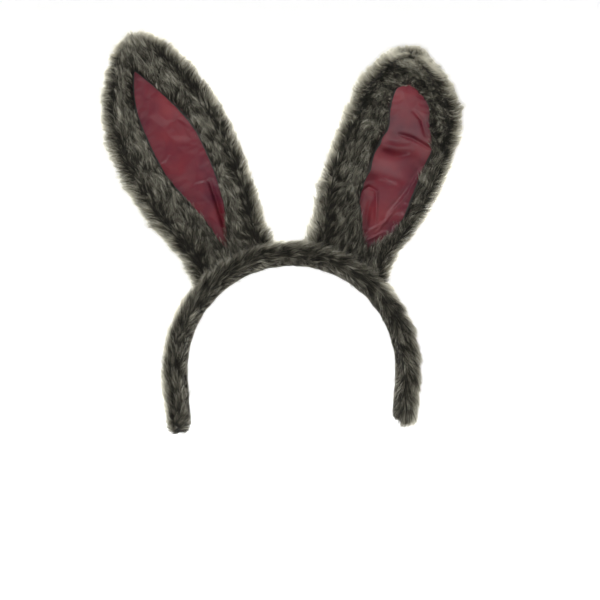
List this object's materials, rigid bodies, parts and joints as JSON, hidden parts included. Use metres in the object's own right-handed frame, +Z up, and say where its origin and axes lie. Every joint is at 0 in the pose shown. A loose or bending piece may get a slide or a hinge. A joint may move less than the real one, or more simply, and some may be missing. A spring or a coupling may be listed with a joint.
{
  "type": "animal ears headband",
  "caption": "Springy headband in a faux fur sleeve with a pair of padded, wired rabbit ears lined in satin.",
  "frame": {"origin": "centre of the band's round arch, where the head goes, half way across the band's width", "axes": "+Z up from the arms towards the ears, -Y towards the front, where the ear linings face, +X to the viewer's right"},
  "size_m": [0.2543, 0.0801, 0.2819],
  "materials": {
    "faux_fur": "brushed frosted pile, dark root, pale tip",
    "satin": "soft satin",
    "core_plastic": "moulded",
    "foam": "soft foam",
    "wadding": "fibre wadding",
    "steel_wire": "drawn wire",
    "cloth_tape": "woven tape",
    "fur_thread": "twisted thread",
    "lining_thread": "twisted thread"
  },
  "bodies": {
    "crown": {"band_core_crown": "core_plastic", "band_fur_crown": "faux_fur", "band_padding_crown": "foam", "band_seam_crown": "fur_thread", "left_ear_base_fur": "faux_fur", "left_ear_base_stitches": "fur_thread", "left_ear_wire_feet": "steel_wire", "left_ear_wire_tapes": "cloth_tape", "right_ear_base_fur": "faux_fur", "right_ear_base_stitches": "fur_thread", "right_ear_wire_feet": "steel_wire", "right_ear_wire_tapes": "cloth_tape"},
    "left_arm": {"band_core_left": "core_plastic", "band_end_stitches_left": "fur_thread", "band_fur_left": "faux_fur", "band_padding_left": "foam", "band_seam_left": "fur_thread"},
    "right_arm": {"band_core_right": "core_plastic", "band_end_stitches_right": "fur_thread", "band_fur_right": "faux_fur", "band_padding_right": "foam", "band_seam_right": "fur_thread"},
    "left_ear": {"left_ear_back_fur_lower": "faux_fur", "left_ear_front_fur_lower": "faux_fur", "left_ear_lining_lower": "satin", "left_ear_lining_stitches_lower": "lining_thread", "left_ear_wadding_lower": "wadding", "left_ear_wire_lower": "steel_wire"},
    "left_ear_tip": {"left_ear_back_fur_tip": "faux_fur", "left_ear_front_fur_tip": "faux_fur", "left_ear_lining_stitches_tip": "lining_thread", "left_ear_lining_tip": "satin", "left_ear_wadding_tip": "wadding", "left_ear_wire_tip": "steel_wire"},
    "right_ear": {"right_ear_back_fur_lower": "faux_fur", "right_ear_front_fur_lower": "faux_fur", "right_ear_lining_lower": "satin", "right_ear_lining_stitches_lower": "lining_thread", "right_ear_wadding_lower": "wadding", "right_ear_wire_lower": "steel_wire"},
    "right_ear_tip": {"right_ear_back_fur_tip": "faux_fur", "right_ear_front_fur_tip": "faux_fur", "right_ear_lining_stitches_tip": "lining_thread", "right_ear_lining_tip": "satin", "right_ear_wadding_tip": "wadding", "right_ear_wire_tip": "steel_wire"}
  },
  "joints": [
    {"name": "left_arm_flex", "type": "hinge", "parent": "crown", "child": "left_arm", "pos_m": [-0.06772, 0, 0.03601], "axis": [0, 1, 0], "range_deg": [-8, 10], "stiffness_Nm_per_rad": 0.8},
    {"name": "right_arm_flex", "type": "hinge", "parent": "crown", "child": "right_arm", "pos_m": [0.06772, 0, 0.03601], "axis": [0, -1, 0], "range_deg": [-8, 10], "stiffness_Nm_per_rad": 0.8},
    {"name": "left_ear_fold", "type": "hinge", "parent": "crown", "child": "left_ear", "pos_m": [-0.04555, 0, 0.08827], "axis": [0.9191, 0, 0.3939], "range_deg": [-50, 60]},
    {"name": "left_ear_bend", "type": "hinge", "parent": "left_ear", "child": "left_ear_tip", "pos_m": [-0.07667, 0, 0.16088], "axis": [0.9191, 0, 0.3939], "range_deg": [-55, 70]},
    {"name": "right_ear_fold", "type": "hinge", "parent": "crown", "child": "right_ear", "pos_m": [0.04119, 0, 0.09009], "axis": [0.9542, 0, -0.299], "range_deg": [-50, 60]},
    {"name": "right_ear_bend", "type": "hinge", "parent": "right_ear", "child": "right_ear_tip", "pos_m": [0.06482, 0, 0.16547], "axis": [0.9542, 0, -0.299], "range_deg": [-100, 25]}
  ]
}
